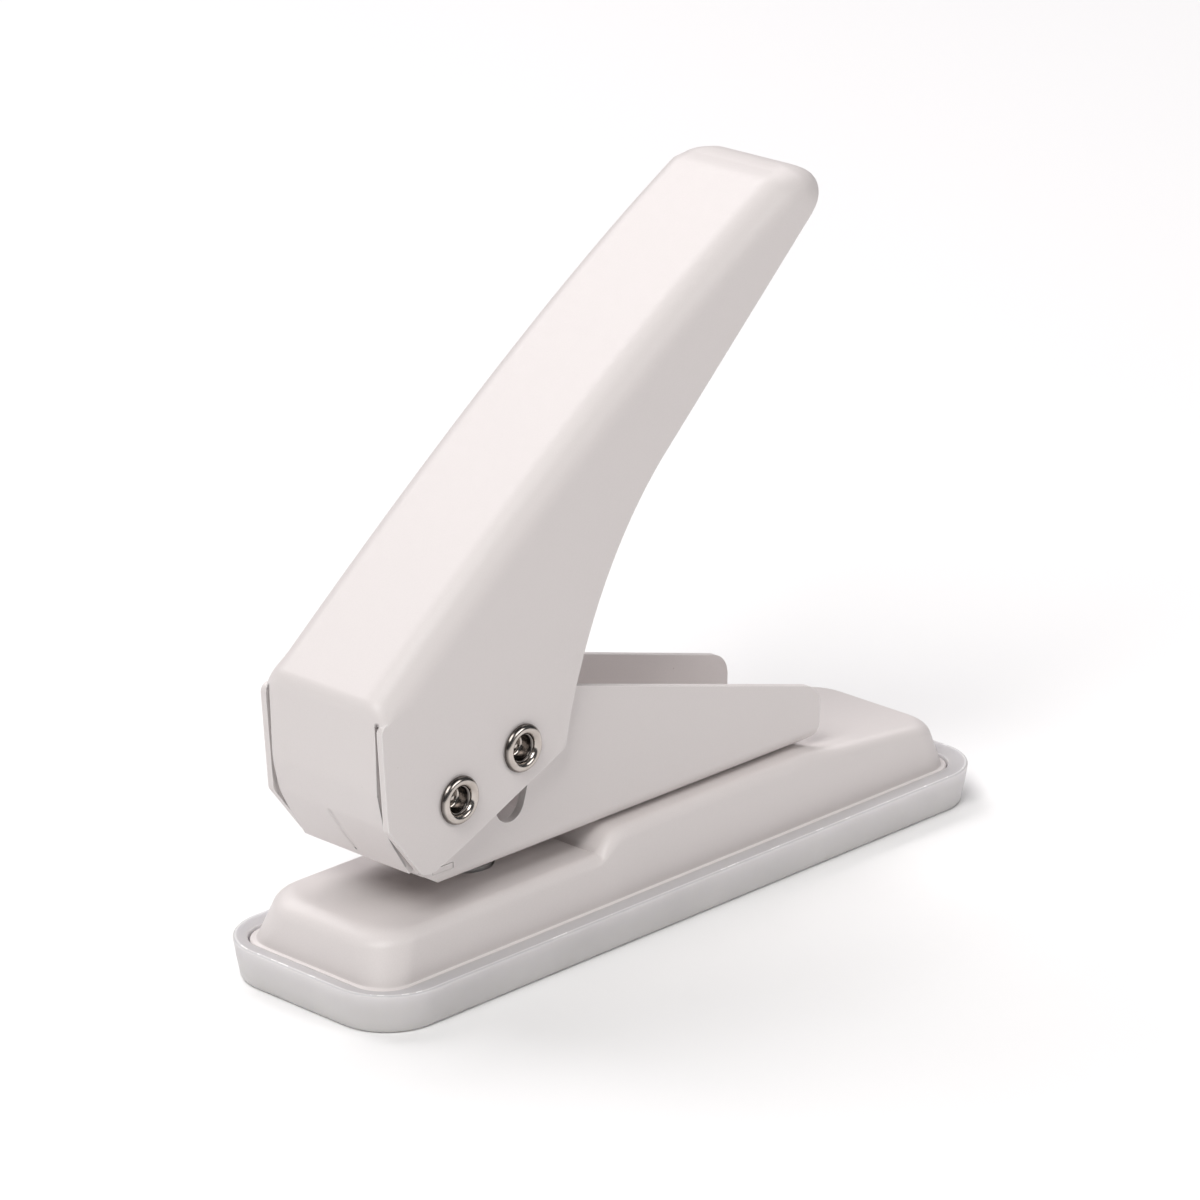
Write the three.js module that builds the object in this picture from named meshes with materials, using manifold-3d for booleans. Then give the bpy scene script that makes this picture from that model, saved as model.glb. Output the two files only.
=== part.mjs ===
// A single-hole paper punch: a pressed base over a soft chip tray, a U-shaped frame, a long sheet-metal
// lever on two tubular rivets, and a sprung punch pin under the lever. Millimetres, +Z up.
// +X runs from the paper entry to the handle's free end. The origin is under the middle of the tray.
import * as THREE from "three";
import { mergeVertices } from "three/addons/utils/BufferGeometryUtils.js";
import Module from "manifold-3d";

const wasm = await Module();
wasm.setup();

// ---- driving dimensions ----
const TRAY = { halfLength: 60, halfWidth: 17.25, height: 5.65, draft: 0.8, corner: 8.8, floor: 1.3 };
const BASE = {
  middle: -0.6, // the pressed base sits a little forward of the tray's middle
  halfLength: 56.9,
  halfWidth: 14.1,
  corner: 4.6,
  bottom: 1.6,
  sheet: 1,
  lean: 1.6, // how far the side walls lean in by the time they reach the edge radius
  edge: 2, // radius along the long top edges
  frontEdge: 3.2, // radius along the front end's top edge
  frontDeck: 11.75,
  rearDeck: 14.5,
  stepFoot: -14.75, // the paper stop: where the front deck ends
  stepTop: -10.35,
  stepCurve: 2.2, // steep at the foot, then levelling off
  slopeStart: 26,
  slope: 0.1,
};
const FRAME = {
  halfWidth: 9.4,
  sheet: 1.2,
  under: 14.8,
  bend: 1.9,
  front: -46.6,
  rear: 31.6,
  rearTop: 22.6,
  crest: [-27, 38.75],
};
const FULCRUM = [-41, 27.3];
const ARM = 12.3; // fulcrum to drive rivet
const ARM_REST = 18.8; // degrees above level at rest
const SWING = 38.9; // degrees of lever swing
const LEVER = {
  halfWidth: 11.4,
  sheet: 1,
  edge: 4.2, // radius along both long top edges
  tipCorner: 6.2, // radius of the tip's corners, seen from above
  tipReach: 15, // length of handle over which the tip's corners draw in
  slit: 0.5,
  slitTop: 40.6,
  flapFoot: [-48.5, 18.7],
  wallFront: [[-46, 22, 0], [-46, 39, 0], [-54.5, 40.8, 1.1], [-53.45, 26.2, 1], [-48.2, 19.2, 0.6], [-46.6, 18.3, 0]],
};
const TIP_AXIS = new THREE.Vector2(0.722, 0.692); // along the handle at its tip
const TIP_HEEL = [30.6, 96.6]; // lowest corner of the tip
const RIVET = { shank: 2.35, bore: 1.85, boreDepth: 1.7, flange: 3.35, roll: 0.8, gap: 0.1 };
const FIT = 0.3; // gap where one piece passes through another
const RUNNING_FIT = 0.08; // radial clearance round a shaft that turns or slides in its hole
const PUNCH = { cutter: 3, shank: 4.5, foot: 15.3, shoulder: 27.3, top: 35.8, slotPlay: 0.4, cup: 1.2 };
const PUNCH_X = -29.1;
const SPRING = { footRadius: 6.2, topRadius: 4.95, wire: 0.3, turns: 2.5, foot: 17.9, top: 27.65 };
const GUIDE = { low: 16.3, thick: 1.3, front: -44.2, rear: -20.8, tabFront: -43.7, tabRear: -40.1 };
const DIE = { low: 8.85, thick: 1.6, front: -40, rear: -18.5, halfWidth: 8.5, neck: 3.95, top: 12.15 };
const FRAME_RIVETS = [-4, 19];

const rad = THREE.MathUtils.degToRad;

// ---- materials ----
const paint = { color: 0xe9e2de, roughness: 0.5, metalness: 0 };
const nickel = { color: 0xb9b4ae, roughness: 0.25, metalness: 1 };
const steel = { color: 0x9a9a98, roughness: 0.4, metalness: 1 };
const zinc = { color: 0xa8a9a8, roughness: 0.45, metalness: 1 };
const softPlastic = { color: 0xcfcfd3, roughness: 0.45, metalness: 0 };

// ---- helpers ----
function solidOf(geometry) {
  const bare = geometry.clone();
  bare.deleteAttribute("normal");
  bare.deleteAttribute("uv");
  const merged = mergeVertices(bare, 1e-4);
  return new wasm.Manifold(
    new wasm.Mesh({
      numProp: 3,
      vertProperties: new Float32Array(merged.attributes.position.array),
      triVerts: new Uint32Array(merged.index.array),
    }),
  );
}

function geometryOf(solid) {
  const mesh = solid.getMesh();
  const flat = new THREE.BufferGeometry();
  flat.setAttribute("position", new THREE.BufferAttribute(new Float32Array(mesh.vertProperties), 3));
  flat.setIndex(new THREE.BufferAttribute(new Uint32Array(mesh.triVerts), 1));
  const shaded = flat.toNonIndexed();
  shaded.computeVertexNormals();
  return shaded;
}

function named(name, solid, look) {
  const mesh = new THREE.Mesh(geometryOf(solid), new THREE.MeshStandardMaterial(look));
  mesh.name = name;
  return mesh;
}

// A polygon whose corners [x, z, radius] are rounded with arcs.
function rounded(corners, steps = 5) {
  const out = [];
  const count = corners.length;
  for (let i = 0; i < count; i++) {
    const [x, y, radius] = corners[i];
    const here = new THREE.Vector2(x, y);
    const back = new THREE.Vector2(...corners[(i + count - 1) % count].slice(0, 2)).sub(here).normalize();
    const on = new THREE.Vector2(...corners[(i + 1) % count].slice(0, 2)).sub(here).normalize();
    if (!radius) {
      out.push(here);
      continue;
    }
    const half = Math.acos(THREE.MathUtils.clamp(back.dot(on), -1, 1)) / 2;
    const middle = back.clone().add(on).normalize().multiplyScalar(radius / Math.sin(half)).add(here);
    const start = here.clone().addScaledVector(back, radius / Math.tan(half)).sub(middle);
    const end = here.clone().addScaledVector(on, radius / Math.tan(half)).sub(middle);
    let turn = end.angle() - start.angle();
    if (turn > Math.PI) turn -= 2 * Math.PI;
    if (turn < -Math.PI) turn += 2 * Math.PI;
    for (let k = 0; k <= steps; k++) {
      const a = start.angle() + (turn * k) / steps;
      out.push(new THREE.Vector2(Math.cos(a), Math.sin(a)).multiplyScalar(radius).add(middle));
    }
  }
  return out;
}

// A side-view outline in x and z, made as thick as y0 to y1.
function sidePlate(points, y0, y1) {
  const shape = new THREE.Shape(points);
  const body = new THREE.ExtrudeGeometry(shape, { depth: y1 - y0, bevelEnabled: false });
  body.rotateX(Math.PI / 2);
  body.translate(0, y1, 0);
  return solidOf(body);
}

// A plan outline in x and y, made as thick as z0 to z1.
function flatPlate(points, z0, z1) {
  const shape = new THREE.Shape(points);
  const body = new THREE.ExtrudeGeometry(shape, { depth: z1 - z0, bevelEnabled: false });
  body.translate(0, 0, z0);
  return solidOf(body);
}

function block(x0, x1, y0, y1, z0, z1) {
  const body = new THREE.BoxGeometry(x1 - x0, y1 - y0, z1 - z0);
  body.translate((x0 + x1) / 2, (y0 + y1) / 2, (z0 + z1) / 2);
  return solidOf(body);
}

// A cylinder across the part, along y.
function crossRod(radius, x, z, halfLength, sides = 32) {
  const body = new THREE.CylinderGeometry(radius, radius, 2 * halfLength, sides);
  body.translate(x, 0, z);
  return solidOf(body);
}

function uprightRod(radius, x, z0, z1, sides = 32) {
  const body = new THREE.CylinderGeometry(radius, radius, z1 - z0, sides);
  body.rotateX(Math.PI / 2);
  body.translate(x, 0, (z0 + z1) / 2);
  return solidOf(body);
}

// A closed [radius, height] outline turned about an upright axis at x.
function turned(outline, x, sides = 32) {
  const body = new THREE.LatheGeometry(outline.map((p) => new THREE.Vector2(...p)), sides);
  body.rotateX(Math.PI / 2);
  body.translate(x, 0, 0);
  return solidOf(body);
}

// A shell's winding depends on which way its outline runs, so it is turned to face outwards here.
function outward(body) {
  const solid = solidOf(body);
  if (solid.volume() > 0) return solid;
  const flat = body.toNonIndexed();
  const at = flat.attributes.position.array;
  for (let i = 0; i < at.length; i += 9)
    for (let k = 0; k < 3; k++) [at[i + 3 + k], at[i + 6 + k]] = [at[i + 6 + k], at[i + 3 + k]];
  return solidOf(flat);
}

// Rings of equal length, joined in order, with both ends closed by the given triangles.
function skin(rings, capStart, capEnd) {
  const count = rings[0].length;
  const faces = [];
  for (let k = 0; k + 1 < rings.length; k++)
    for (let i = 0; i < count; i++) {
      const j = (i + 1) % count;
      const a = k * count;
      const b = a + count;
      faces.push(a + i, a + j, b + j, a + i, b + j, b + i);
    }
  const last = (rings.length - 1) * count;
  for (const [p, q, r] of capStart) faces.push(p, r, q);
  for (const [p, q, r] of capEnd) faces.push(last + p, last + q, last + r);
  const body = new THREE.BufferGeometry();
  body.setAttribute("position", new THREE.Float32BufferAttribute(rings.flat(2), 3));
  body.setIndex(faces);
  return outward(body);
}

// ---- base ----
function deckHeight(x) {
  const t = THREE.MathUtils.clamp((x - BASE.stepFoot) / (BASE.stepTop - BASE.stepFoot), 0, 1);
  const fall = Math.max(0, x - BASE.slopeStart) * BASE.slope;
  return BASE.rearDeck - (BASE.rearDeck - BASE.frontDeck) * Math.pow(1 - t, BASE.stepCurve) - fall;
}

// One level of the base: stations along x, each with its own half width and drop below the deck, corners rounded in
// plan. turn runs round the top edge from 0 (upright wall) to 90 degrees (deck); null stands for the foot.
function baseStations(skinInset, turn, corner, rearCorner) {
  const levelOf = (edge) => {
    if (turn === null) return [skinInset, null];
    const radius = edge - skinInset;
    return [BASE.lean + skinInset + radius * (1 - Math.cos(turn)), skinInset + radius * (1 - Math.sin(turn))];
  };
  const [inset, drop] = levelOf(BASE.edge);
  const end = BASE.halfLength - inset;
  const side = BASE.halfWidth - inset;
  const arc = 5;
  const stations = [];
  for (let k = 0; k <= arc; k++) {
    const a = (k / arc) * (Math.PI / 2);
    const [frontInset, frontDrop] = levelOf(THREE.MathUtils.lerp(BASE.frontEdge, BASE.edge, k / arc));
    const x = -(BASE.halfLength - frontInset) + corner * (1 - Math.cos(a));
    stations.push([x, BASE.halfWidth - frontInset - corner * (1 - Math.sin(a)), frontDrop]);
  }
  for (const x of [-40, -20, -16, -14.15, -13.7, -13.1, -12.4, -11.5, -9.75, 8, 27, 38]) stations.push([x, side, drop]);
  for (let k = arc; k >= 0; k--) {
    const a = (k / arc) * (Math.PI / 2);
    stations.push([end - rearCorner * (1 - Math.cos(a)), side - rearCorner * (1 - Math.sin(a)), drop]);
  }
  return stations;
}

function baseHump(skinInset, foot) {
  const corner = BASE.corner - skinInset * 0.5;
  const levels = [[null, corner, corner]];
  for (let k = 0; k <= 5; k++) levels.push([(k / 5) * (Math.PI / 2), corner + 1.6, corner + 0.2]);
  const rings = levels.map(([turn, front, rear]) => {
    const half = baseStations(skinInset, turn, front, rear);
    const point = (x, y, drop) => [x + BASE.middle, y, drop === null ? foot : deckHeight(x + BASE.middle) - drop];
    return [...half.map(([x, y, drop]) => point(x, -y, drop)), ...half.reverse().map(([x, y, drop]) => point(x, y, drop))];
  });
  const count = rings[0].length;
  const strip = [];
  for (let i = 0; i + 1 < count / 2; i++) {
    const far = count - 1 - i;
    strip.push([i, i + 1, far - 1], [i, far - 1, far]);
  }
  return skin(rings, strip, strip);
}

function basePlate() {
  let body = baseHump(0, BASE.bottom).subtract(baseHump(BASE.sheet, BASE.bottom - 1));
  body = body.subtract(uprightRod(DIE.neck + FIT, PUNCH_X, 5, 20));
  for (const x of FRAME_RIVETS) body = body.subtract(uprightRod(1.5 + FIT, x, 5, 20, 20));
  return body;
}

function diePlate() {
  const { front, rear, halfWidth, low, thick } = DIE;
  const outline = rounded([[front, -halfWidth, 1.5], [rear, -halfWidth, 1.5], [rear, halfWidth, 1.5],
    [front, halfWidth, 1.5]], 3);
  const body = flatPlate(outline, low, low + thick).add(uprightRod(DIE.neck, PUNCH_X, low, DIE.top));
  return body.subtract(uprightRod(PUNCH.cutter + RUNNING_FIT, PUNCH_X, 0, 20));
}

// ---- tray ----
function trayOutline(inset, corner) {
  const x = TRAY.halfLength - inset;
  const y = TRAY.halfWidth - inset;
  return rounded([[-x, -y, corner], [x, -y, corner], [x, y, corner], [-x, y, corner]], 8);
}

function chipTray() {
  const low = trayOutline(TRAY.draft, TRAY.corner - TRAY.draft);
  const high = trayOutline(0, TRAY.corner);
  const cap = THREE.ShapeUtils.triangulateShape(low, []);
  const levels = [[low, 0], [high, TRAY.height]];
  const rings = levels.map(([outline, z]) => outline.map((p) => [p.x, p.y, z]));
  const x = BASE.halfLength + FIT;
  const y = BASE.halfWidth + FIT;
  const r = BASE.corner + FIT;
  const pocket = rounded([[-x, -y, r], [x, -y, r], [x, y, r], [-x, y, r]], 5);
  for (const p of pocket) p.x += BASE.middle;
  return skin(rings, cap, cap).subtract(flatPlate(pocket, TRAY.floor, TRAY.height + 2));
}

// ---- frame ----
function swung(degrees, reach = ARM) {
  const a = rad(degrees);
  return [FULCRUM[0] + reach * Math.cos(a), FULCRUM[1] + reach * Math.sin(a)];
}

// The curved slot that the drive rivet runs in, centred on the fulcrum.
function driveSlot() {
  const half = RIVET.shank + FIT;
  const from = ARM_REST + 1;
  const to = ARM_REST - SWING - 1;
  const steps = 10;
  const outline = [];
  for (let k = 0; k <= steps; k++) outline.push(swung(from + ((to - from) * k) / steps, ARM + half));
  const [lowX, lowZ] = swung(to);
  for (let k = 1; k < 8; k++) {
    const a = rad(to - (180 * k) / 8);
    outline.push([lowX + half * Math.cos(a), lowZ + half * Math.sin(a)]);
  }
  for (let k = steps; k >= 0; k--) outline.push(swung(from + ((to - from) * k) / steps, ARM - half));
  const [highX, highZ] = swung(from);
  for (let k = 7; k > 0; k--) {
    const a = rad(from + (180 * k) / 8);
    outline.push([highX + half * Math.cos(a), highZ + half * Math.sin(a)]);
  }
  return sidePlate(outline.map((p) => new THREE.Vector2(...p)), -15, 15);
}

function frameBracket() {
  const { halfWidth, sheet, under, bend, front, rear, rearTop, crest } = FRAME;
  const top = 45;
  const section = (half, low, r) => {
    const outline = rounded([[-half, low, r], [half, low, r], [half, top, 0], [-half, top, 0]], 4);
    const body = new THREE.ExtrudeGeometry(new THREE.Shape(outline), { depth: 120, bevelEnabled: false });
    body.rotateX(Math.PI / 2);
    body.rotateZ(Math.PI / 2);
    body.translate(-60, 0, 0);
    return solidOf(body);
  };
  const side = rounded([
    [-41.6, under, 3],
    [rear - 0.2, under, 2.6],
    [rear, rearTop, 3.6],
    [crest[0], crest[1], 5],
    [-38, 38, 5],
    [front, 31, 5],
    [front, 17.9, 1.2],
  ]);
  let body = section(halfWidth, under, bend).subtract(section(halfWidth - sheet, under + sheet, 0.4));
  body = body.intersect(sidePlate(side, -15, 15));
  body = body.subtract(crossRod(RIVET.shank + RUNNING_FIT, ...FULCRUM, 15));
  body = body.subtract(driveSlot());
  body = body.subtract(uprightRod(PUNCH.cutter + RUNNING_FIT, PUNCH_X, 10, 20));
  for (const x of FRAME_RIVETS) body = body.subtract(uprightRod(1.5 + FIT, x, 10, 20, 20));
  const { low, thick, tabFront, tabRear } = GUIDE;
  return body.subtract(block(tabFront - FIT, tabRear + FIT, -15, 15, low - FIT, low + thick + FIT));
}

// The plate on the frame's web that keeps the punch upright: its two ears end in the frame's windows.
function guidePlate() {
  const inner = FRAME.halfWidth - FRAME.sheet - FIT;
  const { low, thick, front, rear, tabFront, tabRear } = GUIDE;
  const body = block(front, rear, -inner, inner, low, low + thick);
  const ears = block(tabFront, tabRear, -FRAME.halfWidth + 0.05, FRAME.halfWidth - 0.05, low, low + thick);
  return body.add(ears).subtract(uprightRod(PUNCH.cutter + RUNNING_FIT, PUNCH_X, 10, 20));
}

function frameRivet(x) {
  const head = FRAME.under + FRAME.sheet + 0.1;
  const tail = BASE.rearDeck - BASE.sheet - 0.1;
  return turned([[0, head + 1.2], [1.6, head + 1.1], [2.7, head + 0.6], [3, head], [1.5, head], [1.5, tail],
    [2.6, tail], [2.4, tail - 0.8], [1, tail - 1], [0.8, tail - 0.4], [0, tail - 0.4]].reverse(), x, 20);
}

// ---- lever ----
// The lever seen from its side: front flap, bend, long top line, tip, then back along the open lower edge.
// Each point carries how much of the edge radius it takes part in.
function leverSide(inset) {
  const topLine = new THREE.QuadraticBezierCurve(
    new THREE.Vector2(-54.4, 43.2), new THREE.Vector2(-8.8, 81.05), new THREE.Vector2(22, 98.3));
  const top = topLine.getPoints(14).slice(1, -1);
  const corners = [
    [...LEVER.flapFoot, 0], [-51.3, 23.2, 5], [-52.95, 26.3, 7], [-54, 31, 10], [-54.7, 41, 0],
  ];
  const front = rounded(corners, 2);
  front.pop();
  const bend = rounded([[-54.2, 36, 0], [-54.7, 43, 3.6], [-8.8, 81.05, 0]], 5).slice(1, -1);
  const tip = rounded([[22, 98.3, 0], [25.3, 99.0, 7], [...TIP_HEEL, 1.2], [-2.6, 65, 0]], 5).slice(1, -1);
  const outline = [...front, ...bend, ...top, ...tip];
  const heel = new THREE.Vector2(...TIP_HEEL);
  const tipUp = new THREE.Vector2(-TIP_AXIS.y, TIP_AXIS.x);
  const out = [];
  for (let i = 0; i < outline.length; i++) {
    const before = outline[Math.max(0, i - 1)];
    const after = outline[Math.min(outline.length - 1, i + 1)];
    const along = after.clone().sub(before).normalize();
    const inward = new THREE.Vector2(along.y, -along.x);
    const p = outline[i];
    const height = p.clone().sub(heel).dot(tipUp);
    const tipShare = THREE.MathUtils.clamp(height / 5.4, 0, 1);
    const bendShare = i < front.length ? 0 : Math.min(1, 0.3 + (0.7 * (i - front.length)) / (bend.length - 1));
    const fromTip = p.distanceTo(new THREE.Vector2(27.5, 97.5));
    const draw = i < front.length + 5 ? 0 : Math.max(0, 1 - Math.max(0, fromTip - 4) / LEVER.tipReach);
    out.push({ at: p.clone().addScaledVector(inward, inset), inward, share: bendShare * tipShare, draw });
  }
  return out;
}

function leverLowerEdge() {
  const sweep = new THREE.QuadraticBezierCurve(
    new THREE.Vector2(-2.6, 65), new THREE.Vector2(-15.3, 52.5), new THREE.Vector2(-21, 30.4));
  const heel = rounded([[-15.3, 52.5, 0], [-21.1, 28.9, 1.2], [-40, 20.5, 0]], 3).slice(1, -1);
  return [...sweep.getPoints(9).slice(0, -1), ...heel, ...rounded([
    [-40, 20.5, 0], [-45.9, 18.2, 3], [-48, 18.4, 0]], 3).slice(1)];
}

function leverForm(inset, halfWidth, edge, lower) {
  const upper = leverSide(inset);
  const rings = [];
  const tipCorner = LEVER.tipCorner - inset;
  const past = (y, radius) => {
    const out = Math.max(0, y - (halfWidth - radius));
    return radius - Math.sqrt(Math.max(0, radius * radius - out * out));
  };
  const levels = [90, 76, 62, 48, 35, 22, 10, 0].map((a) => halfWidth - tipCorner * (1 - Math.sin(rad(a))));
  for (const y of [...levels, ...levels.map((v) => -v).reverse()]) {
    const drop = past(Math.abs(y), edge);
    const draw = past(Math.abs(y), tipCorner);
    const line = upper.map((p) => p.at.clone().addScaledVector(p.inward, drop * p.share)
      .addScaledVector(TIP_AXIS, -draw * p.draw));
    rings.push([...line, ...lower].map((p) => [p.x, y, p.y]));
  }
  const seen = rings[0].map((p) => new THREE.Vector2(p[0], p[2]));
  const cap = THREE.ShapeUtils.triangulateShape(seen, []);
  if (THREE.ShapeUtils.isClockWise(seen)) for (const face of cap) face.reverse();
  return skin(rings, cap, cap);
}

function leverShell() {
  const { halfWidth, sheet, edge, slit, slitTop, flapFoot, wallFront } = LEVER;
  const lower = leverLowerEdge();
  const beyond = [
    [40, 92], [30, 60], [10, 20], [-30, 10], [-45, 12], [flapFoot[0] - 0.8, flapFoot[1] - 1.2],
  ].map((p) => new THREE.Vector2(...p));
  let body = leverForm(0, halfWidth, edge, lower);
  body = body.subtract(leverForm(sheet, halfWidth - sheet, edge - sheet, beyond));
  const wall = halfWidth - sheet;
  body = body.subtract(block(-60, -46, wall - slit, wall, 10, slitTop));
  body = body.subtract(block(-60, -46, -wall, -wall + slit, 10, slitTop));
  const front = rounded(wallFront, 3);
  body = body.add(sidePlate(front, wall, halfWidth)).add(sidePlate(front, -halfWidth, -wall));
  body = body.subtract(crossRod(RIVET.shank + FIT, ...FULCRUM, 15));
  return body.subtract(crossRod(RIVET.shank + FIT, ...swung(ARM_REST), 15));
}

// A semi-tubular rivet across both lever walls: its hollow ends are rolled out into round flanges.
function tubularRivet(x, z) {
  const { shank, bore, boreDepth, flange, roll, gap } = RIVET;
  const face = LEVER.halfWidth + gap;
  const half = [[shank, face], [flange - 0.35, face], [flange, face + roll * 0.45], [flange - 0.4, face + roll],
    [flange - 0.95, face + roll], [bore + 0.3, face + roll * 0.3], [bore, face - 0.6], [bore, face - boreDepth],
    [0.9, face - boreDepth + 0.4], [0, face - boreDepth + 0.7]];
  const outline = [...half.map(([r, y]) => [r, -y]).reverse(), ...half];
  const body = new THREE.LatheGeometry(outline.map((p) => new THREE.Vector2(...p)), 28);
  body.translate(x, 0, z);
  return outward(body);
}

// ---- punch ----
function punchPin() {
  const { cutter, shank, foot, shoulder, top, slotPlay, cup } = PUNCH;
  const body = new THREE.LatheGeometry([[0, foot + cup], [cutter - 0.35, foot], [cutter, foot],
    [cutter, shoulder - 0.8], [shank, shoulder], [shank, top - 0.8], [shank - 0.8, top], [0, top]]
    .map((p) => new THREE.Vector2(...p)), 32);
  body.rotateX(Math.PI / 2);
  body.translate(PUNCH_X, 0, 0);
  const z = swung(ARM_REST)[1];
  const half = RIVET.shank + 0.12;
  const slot = [];
  for (let k = 0; k <= 10; k++) {
    const a = -Math.PI / 2 + (Math.PI * k) / 10;
    slot.push(new THREE.Vector2(PUNCH_X + slotPlay + half * Math.cos(a), z + half * Math.sin(a)));
  }
  for (let k = 0; k <= 10; k++) {
    const a = Math.PI / 2 + (Math.PI * k) / 10;
    slot.push(new THREE.Vector2(PUNCH_X - slotPlay + half * Math.cos(a), z + half * Math.sin(a)));
  }
  return outward(body).subtract(sidePlate(slot, -8, 8));
}

function springWasher() {
  const z = SPRING.top + FIT * 0.5;
  const ring = [[PUNCH.shank + 0.15, z], [6.2, z], [6.2, z + 0.6], [PUNCH.shank + 0.15, z + 0.6]];
  const body = new THREE.LatheGeometry([...ring, ring[0]].map((p) => new THREE.Vector2(...p)), 32);
  body.rotateX(Math.PI / 2);
  body.translate(PUNCH_X, 0, 0);
  return outward(body);
}

// A cone-shaped compression spring, so that its turns nest when the punch is down.
class Coil extends THREE.Curve {
  getPoint(t, target = new THREE.Vector3()) {
    const a = t * SPRING.turns * 2 * Math.PI;
    const lift = THREE.MathUtils.smoothstep(t, 0.02, 0.98) * 0.35 + t * 0.65;
    const low = SPRING.foot + SPRING.wire;
    const z = low + lift * (SPRING.top - SPRING.wire - low);
    const radius = THREE.MathUtils.lerp(SPRING.footRadius, SPRING.topRadius, t);
    return target.set(PUNCH_X + radius * Math.cos(a), radius * Math.sin(a), z);
  }
}

function returnSpring() {
  const wire = new THREE.Shape();
  wire.absarc(0, 0, SPRING.wire, 0, 2 * Math.PI, false);
  const body = new THREE.ExtrudeGeometry(wire, { steps: 66, extrudePath: new Coil(), curveSegments: 4,
    bevelEnabled: false });
  return outward(body);
}

const group = new THREE.Group();
group.add(named("base_plate", basePlate(), paint));
group.add(named("die_plate", diePlate(), zinc));
group.add(named("frame_bracket", frameBracket(), paint));
group.add(named("guide_plate", guidePlate(), paint));
group.add(named("frame_rivet_front", frameRivet(FRAME_RIVETS[0]), zinc));
group.add(named("frame_rivet_rear", frameRivet(FRAME_RIVETS[1]), zinc));
group.add(named("lever_shell", leverShell(), paint));
group.add(named("fulcrum_rivet", tubularRivet(...FULCRUM), nickel));
group.add(named("drive_rivet", tubularRivet(...swung(ARM_REST)), nickel));
group.add(named("punch_pin", punchPin(), steel));
group.add(named("spring_washer", springWasher(), zinc));
group.add(named("return_spring", returnSpring(), steel));
group.add(named("chip_tray", chipTray(), softPlastic));

export default group;
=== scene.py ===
"""The single-hole paper punch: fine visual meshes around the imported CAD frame, painted, plated and frosted."""
import math

import bmesh
import bpy
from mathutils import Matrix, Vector
from mathutils.geometry import tessellate_polygon


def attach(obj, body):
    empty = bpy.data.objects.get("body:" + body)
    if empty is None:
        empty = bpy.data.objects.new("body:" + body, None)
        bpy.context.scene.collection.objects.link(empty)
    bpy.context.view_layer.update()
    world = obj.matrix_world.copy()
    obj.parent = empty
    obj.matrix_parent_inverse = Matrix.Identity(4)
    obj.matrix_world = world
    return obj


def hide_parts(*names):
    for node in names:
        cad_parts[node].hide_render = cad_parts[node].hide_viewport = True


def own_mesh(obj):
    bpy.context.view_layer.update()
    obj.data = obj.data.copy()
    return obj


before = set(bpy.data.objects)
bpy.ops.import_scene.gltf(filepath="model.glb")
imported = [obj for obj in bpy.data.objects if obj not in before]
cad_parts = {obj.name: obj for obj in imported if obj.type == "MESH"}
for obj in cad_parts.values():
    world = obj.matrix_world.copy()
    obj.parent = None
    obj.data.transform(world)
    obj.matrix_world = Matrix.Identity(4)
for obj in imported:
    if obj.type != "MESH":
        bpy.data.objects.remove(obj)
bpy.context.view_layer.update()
scene = bpy.context.scene
MM = 0.001

# ---------------------------------------------------------------- sizes, in millimetres and degrees, as in the CAD
PUNCH_X = -29.1
FULCRUM = (-41.0, 27.3)
ARM, ARM_REST, SWING = 12.3, 18.8, 38.9  # fulcrum to drive rivet, the arm's angle at rest, and the stroke
DRIVE = (FULCRUM[0] + ARM * math.cos(math.radians(ARM_REST)), FULCRUM[1] + ARM * math.sin(math.radians(ARM_REST)))
LEVER_HALF, LEVER_EDGE, LEVER_SHEET = 11.4, 4.2, 1.0
TIP_HEEL = Vector((30.6, 96.6))
TIP_ALONG = Vector((0.724, 0.690)).normalized()
TIP_UP = Vector((-TIP_ALONG.y, TIP_ALONG.x))
TIP_CORNER = 6.2
BASE_MIDDLE, BASE_LENGTH, BASE_WIDTH, BASE_SHEET = -0.6, 56.9, 14.1, 1.0
BASE_LEAN, BASE_EDGE, BASE_FRONT_EDGE = 1.6, 2.0, 3.2
FRONT_DECK, REAR_DECK, STOP_FOOT, STOP_TOP = 11.75, 14.5, -14.75, -10.35
FRAME_HALF, FRAME_SHEET, FRAME_UNDER, FRAME_BEND = 9.4, 1.2, 14.8, 1.9
FRAME_RIVETS = (-4, 19)
TRAY_LENGTH, TRAY_WIDTH, TRAY_CORNER = 60, 17.25, 8.8
SPRING_FOOT, SPRING_TOP, SPRING_WIRE, SPRING_TURNS = 17.9, 27.65, 0.3, 2.5
SPRING_WIDE, SPRING_NARROW = 6.2, 4.95

# ---------------------------------------------------------------- sizes of the visual meshes only
BASE_TURN = 13  # the base's top edge starts its arc here, so that it meets the leaning wall without a kink
GROOVE_DEPTH, GROOVE_HALF = 0.45, 0.3  # the sharp crease at the paper stop's foot
DIE_PATCH = (-36.0, -22.0)  # the stretch of the front deck that is one flat face round the die's hole
LEVER_HOLE, FULCRUM_HOLE, SLOT_HALF = 2.65, 2.43, 2.65
DIE_HOLE, PIN_HOLE, FRAME_RIVET_HOLE = 4.25, 3.08, 1.8
SLIT_TOP, SLIT_CURL, CORNER_RUN = 40.6, 0.29, 4.6  # the slits' top, the edge's share there, and the run to a full edge
FLAP_ARC = 5  # points in the small turned-in edge of the flap; the rest of the lever has one per entry of EDGE_TURNS
EDGE_TURNS = [0, 10, 20, 30, 40, 50, 60, 70, 80, 90]
EAR_WINDOW = [Vector(p) for p in ((-43.82, 16.85), (-39.98, 16.85), (-39.98, 17.72), (-43.82, 17.72))]
POCKET_LENGTH, POCKET_WIDTH, POCKET_CORNER = 57.2, 14.4, 4.9
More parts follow.
